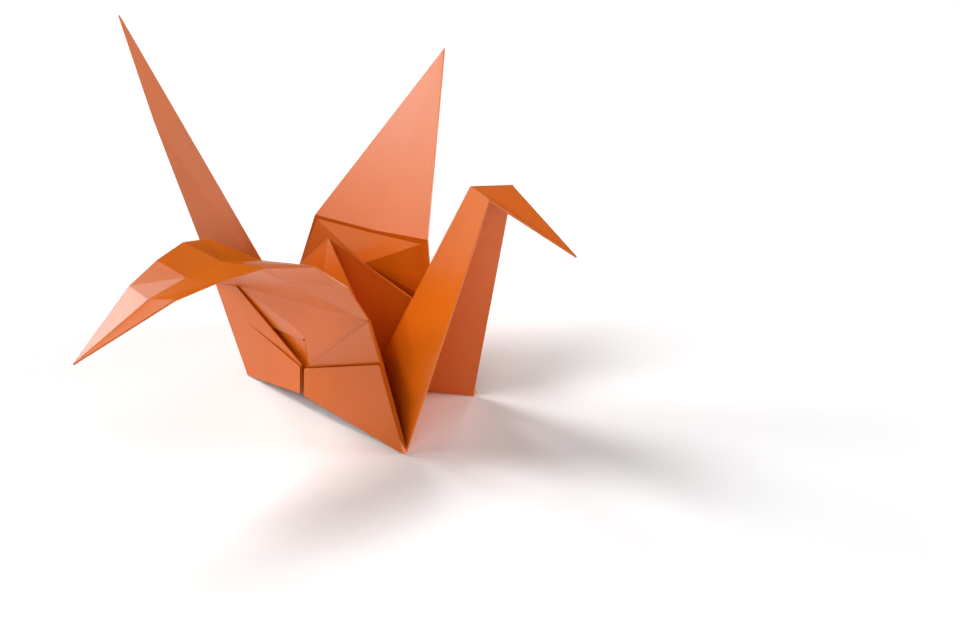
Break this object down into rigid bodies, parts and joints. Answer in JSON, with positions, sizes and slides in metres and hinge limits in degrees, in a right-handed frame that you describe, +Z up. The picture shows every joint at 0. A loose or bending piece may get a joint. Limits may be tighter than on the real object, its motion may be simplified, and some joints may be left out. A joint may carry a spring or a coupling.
{
  "type": "origami crane",
  "caption": "Folded paper crane with an inflated back, one drooping wing, one raised wing, a reverse-folded head and an open tail; it stands on the corners of its body.",
  "frame": {"origin": "on the surface it stands on, below the middle of the bounding box", "axes": "+X from the tail towards the head, +Y from the drooping wing towards the raised wing, +Z up"},
  "size_m": [0.105, 0.0852, 0.0639],
  "materials": {
    "orange_paper": "plain dyed paper, smooth with a soft sheen"
  },
  "bodies": {
    "root": {"folded_crane": "orange_paper"}
  },
  "joints": []
}
